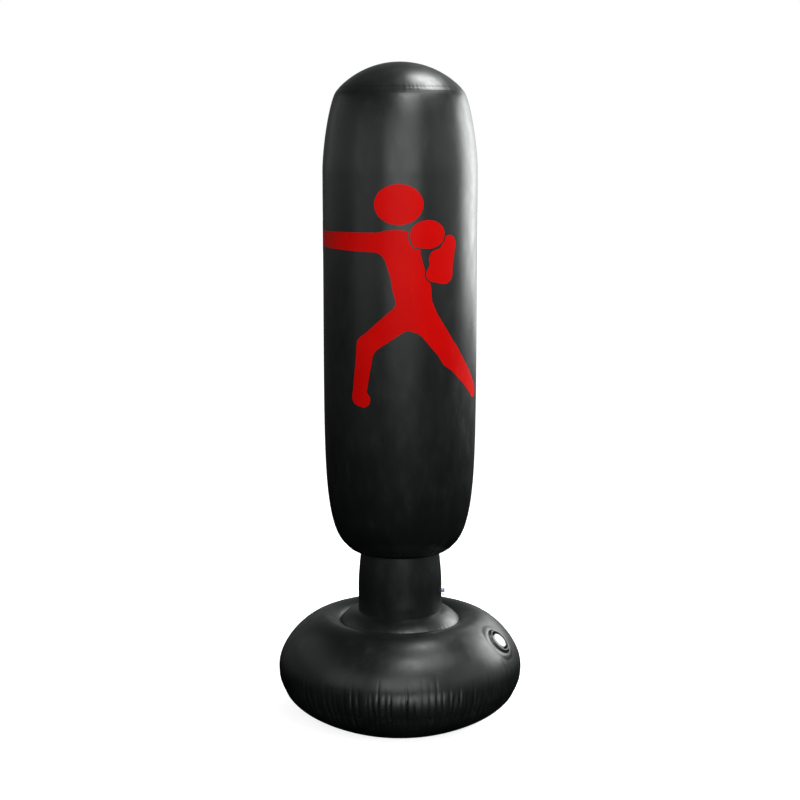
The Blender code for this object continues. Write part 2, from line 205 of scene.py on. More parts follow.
def turned_grid(points, angles, relief=None, top=None, bottom=None):
    """Outer surface of an outline turned through angles, as vertices and outward faces.

    relief(angle, points) is how far the surface stands out along its normal.
    top and bottom are the (radius, height) directions in which the edges move
    instead, where another panel is welded on and a flange turns in.
    A point of no radius becomes one vertex.
    """
    normal = outward(points)
    for row, seam in ((0, top), (-1, bottom)):
        if seam:
            share = np.exp(-(run_from(points, row) / SEAM_REACH) ** 2)
            normal = normal * (1 - share) + np.array([seam]) * share
            normal /= np.linalg.norm(normal, axis=1)[:, None]
    depth = relief(angles[None, :], points) if relief else np.zeros((len(points), len(angles)))
    radius = points[:, :1] + normal[:, :1] * depth
    height = points[:, 1:] + normal[:, 1:] * depth
    if top:
        radius, height = turned_in(radius, height, top, 0)
    if bottom:
        radius, height = turned_in(radius, height, bottom, -1)
    points = np.stack([radius[:, 0], height[:, 0]], 1)
    verts = np.stack([radius * np.cos(angles), radius * np.sin(angles), height], -1)
    steps = len(angles)
    index = np.arange(len(points) * steps).reshape(len(points), steps)
    for row in (0, -1):
        if points[row, 0] < POLE:
            index[row] = index[row, 0]
    right = np.roll(index, -1, axis=1)
    quads = np.stack([index[:-1], index[1:], right[1:], right[:-1]], -1).reshape(-1, 4)
    faces = [tuple(dict.fromkeys(quad)) for quad in quads.tolist()]
    return verts.reshape(-1, 3), faces


def turned_in(radius, height, seam, row):
    """Adds a weld flange at one edge, turned in against the seam's direction."""
    inner = radius[row] - WELD * seam[0], height[row] - WELD * seam[1]
    if row == 0:
        return np.vstack([inner[0], radius]), np.vstack([inner[1], height])
    return np.vstack([radius, inner[0]]), np.vstack([height, inner[1]])


def tidy_mesh(name, verts, faces):
    """A mesh of the faces, without the vertices that no face uses."""
    used = np.unique(np.fromiter((v for face in faces for v in face), int))
    place = {old: new for new, old in enumerate(used.tolist())}
    mesh = bpy.data.meshes.new(name)
    mesh.from_pydata(verts[used], [], [[place[v] for v in face] for face in faces])
    return mesh


def film_mesh(name, verts, faces, thickness=FILM):
    """A closed film: the outer faces, the same faces a thickness inside, and their rims."""
    draft = tidy_mesh(name, verts, faces)
    count = len(draft.vertices)
    outer = np.empty(count * 3)
    draft.vertices.foreach_get("co", outer)
    outer = outer.reshape(-1, 3)
    normal = np.array([tuple(n.vector) for n in draft.vertex_normals])
    loops = [tuple(face.vertices) for face in draft.polygons]
    bpy.data.meshes.remove(draft)
    inner = [tuple(v + count for v in reversed(face)) for face in loops]
    edges = {(face[i - 1], face[i]) for face in loops for i in range(len(face))}
    rims = [(b, a, a + count, b + count) for a, b in sorted(edges) if (b, a) not in edges]
    mesh = bpy.data.meshes.new(name)
    mesh.from_pydata(np.r_[outer, outer - normal * thickness], [], loops + inner + rims)
    return mesh


def show(name, mesh, look, body=None, replaces=()):
    """An object of the mesh, smooth apart from its sharp edges, riding on body."""
    for polygon in mesh.polygons:
        polygon.use_smooth = True
    mesh.set_sharp_from_angle(angle=SMOOTH_BELOW)
    mesh.materials.append(look)
    obj = bpy.data.objects.new(name, mesh)
    bpy.context.scene.collection.objects.link(obj)
    if replaces:
        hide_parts(*replaces)
    if body:
        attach(obj, body)
    return obj


def even_angles(steps, *fine):
    """Angles round a turn, with extra ones in each (centre, half width, count)."""
    angles = [np.arange(steps) * TAU / steps]
    for centre, half, count in fine:
        angles.append(np.linspace(centre - half, centre + half, count))
    angles = np.sort(np.mod(np.concatenate(angles), TAU))
    keep = np.diff(angles, prepend=angles[-1] - TAU) > TAU / steps * FINEST_GAP
    return angles[keep]


def rounded(profile, fillet, segments, closed=False):
    """A profile of (radius, height) with each corner turned into an arc."""
    points = [Vector(p) for p in profile]
    made = []
    for i, point in enumerate(points):
        if not closed and i in (0, len(points) - 1):
            made.append(point)
            continue
        before, after = points[i - 1] - point, points[(i + 1) % len(points)] - point
        reach = min(fillet, 0.45 * before.length, 0.45 * after.length)
        start, end = point + before.normalized() * reach, point + after.normalized() * reach
        for k in range(segments + 1):
            t = k / segments
            made.append(start * (1 - t) ** 2 + point * 2 * t * (1 - t) + end * t * t)
    return np.array([tuple(p) for p in made])


def turned_solid(name, profile, place, steps, closed=False, relief=None):
    """A closed moulding: a profile turned about its own Z axis and put in place."""
    points = np.vstack([profile, profile[:1]]) if closed else profile
    verts, faces = turned_grid(points, np.arange(steps) * TAU / steps, relief)
    if closed:
        last = (len(points) - 1) * steps
        faces = [tuple(v - last if v >= last else v for v in face) for face in faces]
    mesh = tidy_mesh(name, verts, faces)
    mesh.transform(place)
    return mesh


def cord_mesh(name, path, radius, place):
    """A closed tube of a smooth path with rounded ends."""
    path = np.array(path)
    tangent = np.gradient(path, axis=0)
    tangent /= np.linalg.norm(tangent, axis=1)[:, None]
    cap = radius * CORD_CAP
    ends = [path[0] - tangent[0] * cap, path[-1] + tangent[-1] * cap]
    path = np.vstack([ends[:1], path, ends[1:]])
    tangent = np.vstack([tangent[:1], tangent, tangent[-1:]])
    side = np.cross(tangent[0], ANY_WAY)
    verts = []
    for i, (point, along) in enumerate(zip(path, tangent)):
        side = side - along * (side @ along)
        side /= np.linalg.norm(side)
        other = np.cross(along, side)
        size = radius * (CORD_TIP if i in (0, len(path) - 1) else 1.0)
        for k in range(CORD_SIDES):
            turn = TAU * k / CORD_SIDES
            verts.append(point + size * (math.cos(turn) * side + math.sin(turn) * other))
    faces = []
    for i in range(len(path) - 1):
        for k in range(CORD_SIDES):
            a, b = i * CORD_SIDES + k, i * CORD_SIDES + (k + 1) % CORD_SIDES
            faces.append((a, b, b + CORD_SIDES, a + CORD_SIDES))
    last = (len(path) - 1) * CORD_SIDES
    faces.append(tuple(reversed(range(CORD_SIDES))))
    faces.append(tuple(range(last, last + CORD_SIDES)))
    mesh = bpy.data.meshes.new(name)
    mesh.from_pydata(verts, [], faces)
    mesh.transform(place)
    return mesh


def moved(points, place):
    """The points, moved by a placing matrix."""
    return (np.array(place) @ np.c_[points, np.ones(len(points))].T)[:3].T


# ---- relief of the inflated film ----
def wander(seed, depth):
    """A slow unevenness of the film, as a function of angle and height."""
    rng = random.Random(seed)
    waves = [(rng.randint(1, 6), rng.uniform(-22, 22), rng.uniform(0, TAU),
              depth * rng.uniform(0.4, 1.0)) for _ in range(7)]

    def depth_at(angle, height):
        return sum(a * np.sin(m * angle + k * height + phase) for m, k, phase, a in waves)

    return depth_at


def creases(seed, count, radius, width, depth, reach):
    """Irregular gathers that start at a seam and run out with the distance from it."""
    rng = random.Random(seed)
    made = []
    for k in range(count):
        made.append((TAU * (k + rng.uniform(-0.36, 0.36)) / count,
                     width * rng.uniform(0.65, 1.35), depth * rng.uniform(0.35, 1.0),
                     reach * rng.uniform(0.55, 1.0), rng.uniform(-0.012, 0.012)))

    def depth_at(angle, distance):
        total = np.zeros(np.broadcast(angle, distance).shape)
        for centre, wide, deep, far, slant in made:
            aside = np.mod(angle - centre - slant * distance / far + math.pi, TAU) - math.pi
            fade = np.clip(1 - distance / far, 0, 1) ** 1.2
            total -= deep * np.exp(-(aside * radius / wide) ** 2) * fade
        return total

    return depth_at


def tuck(distance, depth, width):
    """The valley that a weld makes in the film, by the distance from it."""
    return -depth * np.exp(-(distance / width) ** 1.3)


def smooth_step(low, high, value):
    share = np.clip((value - low) / (high - low), 0, 1)
    return share * share * (3 - 2 * share)


# ---- materials ----
def material(name, colour, roughness, ior=1.5):
    made = bpy.data.materials.new(name)
    made.use_nodes = True
    shader = made.node_tree.nodes["Principled BSDF"]
    shader.inputs["Base Color"].default_value = (*colour, 1)
    shader.inputs["Roughness"].default_value = roughness
    shader.inputs["IOR"].default_value = ior
    place = made.node_tree.nodes.new("ShaderNodeTexCoord")
    return made, made.node_tree, shader, place.outputs["Object"]


def noise(tree, place, scale, detail, stretch=None):
    """A noise texture's value, stretched along the axes where stretch is given."""
    if stretch:
        mapping = tree.nodes.new("ShaderNodeMapping")
        mapping.inputs["Scale"].default_value = stretch
        tree.links.new(place, mapping.inputs["Vector"])
        place = mapping.outputs["Vector"]
    texture = tree.nodes.new("ShaderNodeTexNoise")
    texture.inputs["Scale"].default_value = scale
    texture.inputs["Detail"].default_value = detail
    tree.links.new(place, texture.inputs["Vector"])
    return texture.outputs[0]


def ranged(tree, value, low, high, to_low, to_high):
    node = tree.nodes.new("ShaderNodeMapRange")
    node.interpolation_type = "SMOOTHSTEP"
    for socket, number in zip(("From Min", "From Max", "To Min", "To Max"),
                              (low, high, to_low, to_high)):
        node.inputs[socket].default_value = number
    tree.links.new(value, node.inputs["Value"])
    return node.outputs["Result"]


def product(tree, first, second):
    node = tree.nodes.new("ShaderNodeMath")
    node.operation = "MULTIPLY"
    tree.links.new(first, node.inputs[0])
    tree.links.new(second, node.inputs[1])
    return node.outputs[0]


def mixed(tree, factor, first, second):
    """A colour between first and second, which are colours or sockets."""
    node = tree.nodes.new("ShaderNodeMix")
    node.data_type = "RGBA"
    tree.links.new(factor, node.inputs["Factor"])
    for socket, colour in zip((node.inputs[6], node.inputs[7]), (first, second)):
        if isinstance(colour, tuple):
            socket.default_value = (*colour, 1)
        else:
            tree.links.new(colour, socket)
    return node.outputs[2]


def bumped(tree, shader, layers):
    """Chains bump nodes of (height, strength, distance) into the shader."""
    previous = None
    for height, strength, distance in layers:
        bump = tree.nodes.new("ShaderNodeBump")
        bump.inputs["Strength"].default_value = strength
        bump.inputs["Distance"].default_value = distance
        tree.links.new(height, bump.inputs["Height"])
        if previous:
            tree.links.new(previous, bump.inputs["Normal"])
        previous = bump.outputs["Normal"]
    tree.links.new(previous, shader.inputs["Normal"])


VINYL_IOR = 1.52
WORN = 2.2
FILM_SWAY = 0.30
INK_SHINE = 0.06


def film_look(name, colour, pale, roughness, grain=0.16):
    """Inflated vinyl: satin, faintly uneven, with fine grain, dust and rubbed spots."""
    made, tree, shader, place = material(name, colour, roughness, VINYL_IOR)
    cloud = noise(tree, place, 7.0, 4.0)
    scuff = noise(tree, place, 42.0, 6.0, (1.0, 1.0, 0.45))
    speck = noise(tree, place, 520.0, 2.0)
    fine = noise(tree, place, 1100.0, 2.0)
    soft = noise(tree, place, 26.0, 2.0)
    tone = mixed(tree, ranged(tree, cloud, 0.3, 0.72, 0.0, 1.0), colour, pale)
    worn = tuple(min(1.0, WORN * c) for c in pale)
    tone = mixed(tree, ranged(tree, scuff, 0.60, 0.82, 0.0, 0.55), tone, worn)
    tone = mixed(tree, ranged(tree, speck, 0.69, 0.80, 0.0, 0.6), tone, worn)
    tree.links.new(tone, shader.inputs["Base Color"])
    rough = ranged(tree, scuff, 0.35, 0.75, roughness - 0.03, roughness + 0.06)
    tree.links.new(rough, shader.inputs["Roughness"])
    bumped(tree, shader, [(soft, FILM_SWAY, 0.0005), (fine, grain, 0.00012)])
    return made


def moulded_look(name, colour, stain, roughness, see_through=0.0, deep=0.0):
    """Moulded plastic or rubber with flow marks, a soft stain and fine texture."""
    made, tree, shader, place = material(name, colour, roughness)
    shader.inputs["Transmission Weight"].default_value = see_through
    shader.inputs["Subsurface Weight"].default_value = deep
    shader.inputs["Subsurface Scale"].default_value = 0.002
    cloud = noise(tree, place, 130.0, 4.0)
    scratch = noise(tree, place, 900.0, 5.0, (0.12, 1.0, 0.6))
    fine = noise(tree, place, 2600.0, 2.0)
    tone = mixed(tree, ranged(tree, cloud, 0.35, 0.78, 0.0, 0.7), colour, stain)
    tree.links.new(tone, shader.inputs["Base Color"])
    rough = ranged(tree, scratch, 0.4, 0.7, roughness - 0.05, roughness + 0.08)
    tree.links.new(rough, shader.inputs["Roughness"])
    bumped(tree, shader, [(scratch, 0.10, 0.0001), (fine, 0.22, 0.00005)])
    return made


LOOKS = {
    "black_film": film_look("black_film_look", (0.0048, 0.0054, 0.0054),
                            (0.0085, 0.0094, 0.0092), 0.34),
    "print_red": film_look("print_red_look", (0.62, 0.0016, 0.0011),
                           (0.69, 0.0030, 0.0018), 0.36, grain=0.10),
    "valve_grey": moulded_look("valve_grey_look", (0.020, 0.022, 0.022),
                               (0.034, 0.037, 0.037), 0.42),
    "valve_white": moulded_look("valve_white_look", (0.86, 0.87, 0.87),
                                (0.80, 0.80, 0.77), 0.36, deep=0.15),
    "valve_clear": moulded_look("valve_clear_look", (0.62, 0.67, 0.80),
                                (0.50, 0.55, 0.72), 0.26, see_through=0.25, deep=0.2),
    "seal_rubber": moulded_look("seal_rubber_look", (0.030, 0.030, 0.030),
                                (0.045, 0.043, 0.040), 0.70),
    "water": moulded_look("water_look", (0.35, 0.50, 0.55),
                          (0.28, 0.45, 0.50), 0.08, see_through=0.9),
}
ink = LOOKS["print_red"].node_tree.nodes["Principled BSDF"]
ink.inputs["Specular IOR Level"].default_value = INK_SHINE

# The frame's own solids that stay: they are inside the tower, or too small for new shapes.
for node, slot in (("base_baffle_sleeve", "black_film"), ("water_ballast", "water"),
                   ("air_valve_flap", "valve_clear")):
    for held in frame["nodes"][node].material_slots:
        held.material = LOOKS[slot]


# ---- the column ----
COLUMN_WANDER = wander(11, 0.00009)
DOME_TUCK, FLOOR_TUCK, RING_TUCK, BASE_TUCK = 0.0008, 0.0016, 0.0012, 0.0022
DOME_GATHERS = creases(5, 96, DOME_RADIUS, 0.0026, 0.0009, 0.020)
FLOOR_GATHERS = creases(8, 84, FLOOR_SEAM_RADIUS, 0.0032, 0.0019, 0.045)
LAP_ANGLE = math.pi / 2
LAP_WIDTH = 0.013
LAP_STEP = 0.0005
LAP_EDGE = 0.0006
LAP_RIPPLE = 0.0005
LAP_RIPPLE_REACH = 0.022
COLUMN_STEPS = 288
DOME_CROWD = 1.5
SEAM_SPLITS = 7


def wall_outline():
    """The column's wall from the dome's seam to the floor's, finer at both seams."""
    turn = np.r_[0, np.linspace(0.28, math.pi / 2, 400)]
    side = np.linspace(0, column_angle(FLOOR_SEAM_RADIUS), 1600)[1:]
    points = respaced(np.vstack([shoulder(turn), column_side(side)]), 132)
    ends = DOME_SEAM - CLEARANCE / 2, points[-1, 1] + CLEARANCE / 2
    seams = [np.linspace(a, b, SEAM_SPLITS)[1:-1] for a, b in zip(points[:2], points[1:3])]
    feet = [np.linspace(a, b, SEAM_SPLITS)[1:-1] for a, b in zip(points[-3:-1], points[-2:])]
    points = np.vstack([points[:1], seams[0], points[1:2], seams[1], points[2:-2],
                        feet[0], points[-2:-1], feet[1], points[-1:]])
    points[0, 1], points[-1, 1] = ends
    return points


def wall_relief(angle, points):
    """How far the wall's film stands off its outline."""
    height = points[:, 1:]
    top = run_from(points, 0)
    foot = run_from(points, -1)
    aside = np.abs(np.mod(angle - LAP_ANGLE + math.pi, TAU) - math.pi) * COLUMN_RADIUS
    edges = LAP_WIDTH / 2 - LAP_EDGE, LAP_WIDTH / 2 + LAP_EDGE
    lap = LAP_STEP * (1 - smooth_step(*edges, aside))
    ripple = LAP_RIPPLE * np.sin(height * 210 + 2 * np.sin(height * 31))
    ripple = ripple * np.exp(-(aside / LAP_RIPPLE_REACH) ** 2) * smooth_step(0.0, 0.08, top)
    calm = smooth_step(0.0, 0.05, top) * smooth_step(0.0, 0.05, foot)
    relief = COLUMN_WANDER(angle, height) * calm + (lap + ripple) * smooth_step(0, 0.02, top)
    relief = relief + tuck(top, DOME_TUCK, 0.0035) + DOME_GATHERS(angle, top)
    return relief + tuck(foot, FLOOR_TUCK, 0.007) + FLOOR_GATHERS(angle, foot)


def make_column():
    fine = (LAP_ANGLE, LAP_WIDTH * 0.6 / COLUMN_RADIUS, 27)
    verts, faces = turned_grid(wall_outline(), even_angles(COLUMN_STEPS, fine), wall_relief, OUT, OUT)
    show("column_wall_skin", film_mesh("column_wall_skin", verts, faces),
         LOOKS["black_film"], "column", ["column_wall"])

    points = respaced(dome_outline(np.linspace(0, 1, 400)), 46, crowd=DOME_CROWD)
    points[-1, 1] += CLEARANCE / 2

    def dome_relief(angle, points):
        rim = run_from(points, -1)
        calm = smooth_step(0.0, 0.04, rim) * smooth_step(0.0, 0.05, points[:, :1])
        made = COLUMN_WANDER(angle, points[:, 1:]) * calm
        return made + tuck(rim, DOME_TUCK, 0.0045) + DOME_GATHERS(angle, rim)

    verts, faces = turned_grid(points, even_angles(COLUMN_STEPS), dome_relief, bottom=OUT)
    show("column_dome_skin", film_mesh("column_dome_skin", verts, faces),
         LOOKS["black_film"], "column", ["column_dome"])

    ends = column_angle(FLOOR_SEAM_RADIUS), column_angle(NECK_RADIUS - NECK_TAPER)
    points = respaced(column_side(np.linspace(*ends, 200)), 22)
    points[0, 1] -= CLEARANCE / 2
    points[-1, 1] = NECK_TOP + CLEARANCE / 2

    def floor_relief(angle, points):
        rim = run_from(points, 0)
        hold = smooth_step(0.0, 0.012, run_from(points, -1))
        return (tuck(rim, FLOOR_TUCK, 0.005) + FLOOR_GATHERS(angle, rim)) * hold

    verts, faces = turned_grid(points, even_angles(COLUMN_STEPS), floor_relief, OUT, OUT)
    show("column_floor_skin", film_mesh("column_floor_skin", verts, faces),
         LOOKS["black_film"], "column", ["column_floor_panel"])


# ---- the printed boxer, drawn here from plain rounded shapes ----
PRINT_CELL = 0.0024
PRINT_GAP = 0.0034
PRINT_RISE = 0.00026
PRINT_THICKNESS = 0.0002
PRINT_ACROSS = (-0.375, 0.265)
PRINT_UP = (0.785, 1.335)
CROSSING = (0.04, 0.96)


def limb(s, z, start, end):
    """Signed distance to a tapering limb between (s, z, radius) ends."""
    run = np.array(end[:2]) - np.array(start[:2])
    share = ((s - start[0]) * run[0] + (z - start[1]) * run[1]) / (run @ run)
    share = np.clip(share, 0, 1)
    off = np.hypot(s - start[0] - share * run[0], z - start[1] - share * run[1])
    return off - (start[2] + (end[2] - start[2]) * share)


def disc(s, z, centre, half):
    """Signed distance, nearly, to an upright ellipse."""
    scale = np.hypot((s - centre[0]) / half[0], (z - centre[1]) / half[1])
    return (scale - 1) * min(half)


def joined(first, second, soft):
    """Smooth union of two distances."""
    share = np.clip(0.5 + 0.5 * (second - first) / soft, 0, 1)
    return second + (first - second) * share - soft * share * (1 - share)


def boxer(s, z):
    """Signed distance to a fighter in guard who punches to the left.

    s runs round the column from its front, to the right, and z is the height.
    """
    head = disc(s, z, (-0.003, 1.2715), (0.0575, 0.0465))
    chest = limb(s, z, (0.002, 1.166, 0.042), (0.028, 1.080, 0.040))
    hips = limb(s, z, (0.028, 1.080, 0.040), (0.040, 1.020, 0.042))
    body = joined(chest, hips, 0.02)
    jab = limb(s, z, (-0.020, 1.184, 0.0235), (-0.250, 1.187, 0.0185))
    body = joined(body, jab, 0.022)
    shoulders = limb(s, z, (-0.030, 1.187, 0.022), (0.030, 1.186, 0.024))
    body = joined(body, shoulders, 0.012)
    fist = limb(s, z, (-0.292, 1.190, 0.037), (-0.322, 1.190, 0.034))
    body = joined(body, fist, 0.010)
    thigh = limb(s, z, (0.018, 1.022, 0.031), (-0.081, 0.946, 0.0225))
    shin = limb(s, z, (-0.083, 0.944, 0.0225), (-0.100, 0.832, 0.0185))
    front = joined(thigh, shin, 0.010)
    foot = limb(s, z, (-0.101, 0.822, 0.019), (-0.089, 0.818, 0.018))
    body = joined(body, joined(front, foot, 0.006), 0.012)
    rear_thigh = limb(s, z, (0.050, 1.018, 0.033), (0.128, 0.920, 0.026))
    rear_shin = limb(s, z, (0.128, 0.920, 0.026), (0.226, 0.826, 0.0165))
    body = joined(body, joined(rear_thigh, rear_shin, 0.012), 0.012)
    glove = joined(disc(s, z, (0.066, 1.203), (0.043, 0.033)),
                   limb(s, z, (0.045, 1.193, 0.012), (0.040, 1.186, 0.012)), 0.01)
    forearm = limb(s, z, (0.108, 1.112, 0.021), (0.122, 1.180, 0.0205))
    forearm = joined(forearm, limb(s, z, (0.108, 1.112, 0.021), (0.080, 1.112, 0.019)), 0.014)
    forearm = joined(forearm, limb(s, z, (0.092, 1.145, 0.024), (0.098, 1.128, 0.024)), 0.010)
    guard = np.minimum(glove, forearm)
    body = np.maximum(body, PRINT_GAP - guard)
    forearm = np.maximum(forearm, PRINT_GAP - glove)
    glove = np.maximum(glove, PRINT_GAP - head)
    return np.minimum.reduce([head, body, forearm, glove])


def filled(distance, cell, origin):
    """The region where a distance grid is negative, as points and faces."""
    points, found, faces = [], {}, []

    def point(i, j, to=None):
        key = (i, j) if to is None else tuple(sorted(((i, j), to)))
        if key not in found:
            at = np.array((i, j), float)
            if to is not None:
                (a, b) = key
                start, end = distance[a], distance[b]
                share = min(max(start / (start - end), CROSSING[0]), CROSSING[1])
                at = np.array(a, float) * (1 - share) + np.array(b, float) * share
            found[key] = len(points)
            points.append((origin[0] + cell * at[0], origin[1] + cell * at[1]))
        return found[key]

    inside = distance < 0
    touched = inside[:-1, :-1] | inside[1:, :-1] | inside[1:, 1:] | inside[:-1, 1:]
    for i, j in zip(*np.nonzero(touched)):
        corners = [(i, j), (i + 1, j), (i + 1, j + 1), (i, j + 1)]
        face = []
        for k, corner in enumerate(corners):
            after = corners[(k + 1) % 4]
            if inside[corner]:
                face.append(point(*corner))
            if inside[corner] != inside[after]:
                face.append(point(*corner, after))
        faces.append(tuple(face))
    return np.array(points), faces


def make_print():
    """The figure as a thin skin of ink that follows the column's wall."""
    s = np.arange(*PRINT_ACROSS, PRINT_CELL)
    z = np.arange(*PRINT_UP, PRINT_CELL)
    flat, faces = filled(boxer(s[:, None], z[None, :]), PRINT_CELL, (s[0], z[0]))
    outline = wall_outline()
    normal = outward(outline)
    angle = -math.pi / 2 + flat[:, 0] / COLUMN_RADIUS
    down = -flat[:, 1]
    radius = np.interp(down, -outline[:, 1], outline[:, 0])
    lean_out = np.interp(down, -outline[:, 1], normal[:, 1])
    stand = COLUMN_WANDER(angle, flat[:, 1]) + PRINT_RISE
    radius = radius + stand * np.sqrt(1 - lean_out ** 2)
    height = flat[:, 1] + stand * lean_out
    verts = np.stack([radius * np.cos(angle), radius * np.sin(angle), height], 1)
    show("printed_boxer", film_mesh("printed_boxer", verts, faces, PRINT_THICKNESS),
         LOOKS["print_red"], "column")


# ---- the neck ----
AIR_HEIGHT = (AIR_BOX[0].z + AIR_BOX[1].z) / 2
AIR_PLACE = Matrix.Translation((NECK_RADIUS, 0, AIR_HEIGHT)) @ \
    Vector((1, 0, 0)).to_track_quat("Z", "X").to_matrix().to_4x4()
AIR_RADIUS = 0.0050
NECK_STEPS = 224
AIR_HOLE_DEPTH = 0.02
AIR_HOLE_FINE = 0.011
DRAW_LINES = ((0.00012, 9, 1.3, 0), (0.00010, 17, 0, 6))


def cut_round(verts, faces, place, radius, reach):
    """Takes away the faces inside a round hole and draws its edge onto the circle."""
    local = moved(verts, place.inverted())
    off = np.hypot(local[:, 0], local[:, 1])
    inside = (off < radius) & (np.abs(local[:, 2]) < reach)
    kept = [face for face in faces if not any(inside[v] for v in face)]
    gone = {v for face in faces if any(inside[v] for v in face) for v in face}
    rim = [v for v in gone if not inside[v]]
    scale = radius / off[rim]
    local[rim, :2] *= scale[:, None]
    verts = verts.copy()
    verts[rim] = moved(local[rim], place)
    return verts, kept


def neck_relief(angle, points):
    """Soft draw lines down the neck, calm at its welds and round the air valve."""
    height = points[:, 1:]
    drawn = sum(depth * np.sin(count * angle + phase + twist * height)
                for depth, count, phase, twist in DRAW_LINES)
    ends = smooth_step(NECK_BOTTOM, NECK_BOTTOM + 0.02, height)
    ends = ends * (1 - smooth_step(NECK_TOP - 0.02, NECK_TOP, height))
    near = np.minimum(np.abs(angle), TAU - np.abs(angle)) * NECK_RADIUS
    calm = smooth_step(0.006, 0.022, np.hypot(near, height - AIR_HEIGHT))
    return drawn * ends * calm


def make_neck():
    """The neck as two skins, one above and one below the hinge."""
    whole = neck_outline(np.linspace(0, 1, 600))
    fine = (0.0, AIR_HOLE_FINE / NECK_RADIUS, 23)
    upper = whole[whole[:, 1] > LEAN_HEIGHT]
    lower = whole[whole[:, 1] < LEAN_HEIGHT]
    joint = np.array([[np.interp(-LEAN_HEIGHT, -whole[:, 1], whole[:, 0]), LEAN_HEIGHT]])
    upper = respaced(np.vstack([upper, joint]), 34)
    lower = respaced(np.vstack([joint, lower]), 80)
    upper[0, 1] = NECK_TOP - CLEARANCE / 2
    lower[-1, 1] += CLEARANCE / 2
    verts, faces = turned_grid(upper, even_angles(NECK_STEPS, fine), neck_relief, top=OUT)
    piece = show("neck_upper_skin", film_mesh("neck_upper_skin", verts, faces),
                 LOOKS["black_film"], replaces=["neck_tube"])
    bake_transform(piece)
    verts, faces = turned_grid(lower, even_angles(NECK_STEPS, fine), neck_relief, bottom=OUT)
    verts, faces = cut_round(verts, faces, AIR_PLACE, AIR_RADIUS + CLEARANCE, AIR_HOLE_DEPTH)
    piece = show("neck_lower_skin", film_mesh("neck_lower_skin", verts, faces),
                 LOOKS["black_film"], replaces=["neck_tube"])
    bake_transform(piece)


# ---- the base ----
PLEATS = creases(3, 112, BASE_RADIUS, 0.0032, 0.0050, 0.112)
RING_GATHERS = creases(31, 60, RING_RADIUS, 0.004, 0.0005, 0.018)
BASE_WANDER = wander(23, 0.00012)
FILLER_PLACE = Matrix.Translation(FILLER_CENTRE) @ \
    FILLER_AXIS.to_track_quat("Z", "X").to_matrix().to_4x4()
FLANGE_RADIUS = 0.0330
RECESS_RADIUS = 0.0255
LIP_RADIUS = 0.0233
LIP_CREST = 0.0275
LIP_RISE = 0.0034
LIP_DROP = 0.0046
LIP_CURL = 2.2
LIP_REACH = 0.056
LIP_RINGS = 30
VALLEY_RADIUS = FLANGE_RADIUS + 0.0030
VALLEY_DEPTH = 0.0022
FREE_FROM, FREE_TO = FLANGE_RADIUS + 0.0010, LIP_REACH - 0.004
PATCH_MARGIN = 0.012
PATCH_DEPTH = 0.06
RAY_START = 0.05
EDGE_PASSES = 4
EVENING = 2.5
BASE_STEPS = 900
BASE_TUCK_WIDTH = 0.014
BASE_EASE = 0.013
EASE_STARTS = (0.02, 0.06)
EASE_ENDS = (0.205, 0.24)
OUTLINE_POINTS = 900
LIP_POINTS = 200
PAST_CREST = 300


def lip_height(off, free):
    """Height of the film round the filler: a soft lip, a valley, then the free film."""
    curl = np.clip((LIP_CREST - off) / (LIP_CREST - LIP_RADIUS), 0, 1) ** LIP_CURL
    lip = LIP_RISE - LIP_DROP * curl
    fall = smooth_step(LIP_CREST, VALLEY_RADIUS, off)
    seat = lip * (1 - fall) - VALLEY_DEPTH * fall
    share = smooth_step(FREE_FROM, FREE_TO, off)
    return seat + (free - seat) * share


def lipped_hole(verts, faces, place):
    """Swaps the film round the filler for rings of faces that run in to its round lip."""
    local = moved(verts, place.inverted())
    off = np.hypot(local[:, 0], local[:, 1])
    near = (off < LIP_REACH + PATCH_MARGIN) & (np.abs(local[:, 2]) < PATCH_DEPTH)
    inside = (off < LIP_REACH) & near
    kept = [face for face in faces if not any(inside[v] for v in face)]
    gone = [face for face in faces if any(inside[v] for v in face)]
    around = [face for face in faces if all(near[v] for v in face)]
    film = BVHTree.FromPolygons([Vector(p) for p in local], around)

    def heights(x, y):
        rays = [Vector((u, v, RAY_START)) for u, v in zip(x, y)]
        return np.array([film.ray_cast(ray, Vector((0, 0, -1)))[0].z for ray in rays])

    edges = {(face[i - 1], face[i]) for face in gone for i in range(len(face))}
    after = {a: b for a, b in edges if (b, a) not in edges}
    loop = [min(after)]
    while after[loop[-1]] != loop[0]:
        loop.append(after[loop[-1]])
    edge = local[loop, :2]
    for _ in range(EDGE_PASSES):
        edge = (np.roll(edge, 1, 0) + 2 * edge + np.roll(edge, -1, 0)) / 4
    local[loop] = np.c_[edge, heights(edge[:, 0], edge[:, 1])]
    off[loop] = np.hypot(edge[:, 0], edge[:, 1])
    verts = verts.copy()
    verts[loop] = moved(local[loop], place)
    turn = np.unwrap(np.arctan2(edge[:, 1], edge[:, 0]))
    even = turn[0] + np.sign(turn[-1] - turn[0]) * np.arange(len(loop)) * TAU / len(loop)
    even += (turn - even).mean()
    rows, rings = [list(loop)], []
    for k in range(1, LIP_RINGS + 1):
        share = k / LIP_RINGS
        ring_off = off[loop] * (1 - share) + LIP_RADIUS * share
        blend = min(1.0, EVENING * share)
        angle = turn * (1 - blend) + even * blend
        x, y = ring_off * np.cos(angle), ring_off * np.sin(angle)
        rings.append(np.stack([x, y, lip_height(ring_off, heights(x, y))], 1))
        start = len(verts) + (k - 1) * len(loop)
        rows.append(list(range(start, start + len(loop))))
    for outer, inner in zip(rows, rows[1:]):
        for i in range(len(loop)):
            kept.append((outer[i - 1], outer[i], inner[i], inner[i - 1]))
    return np.vstack([verts, moved(np.vstack(rings), place)]), kept


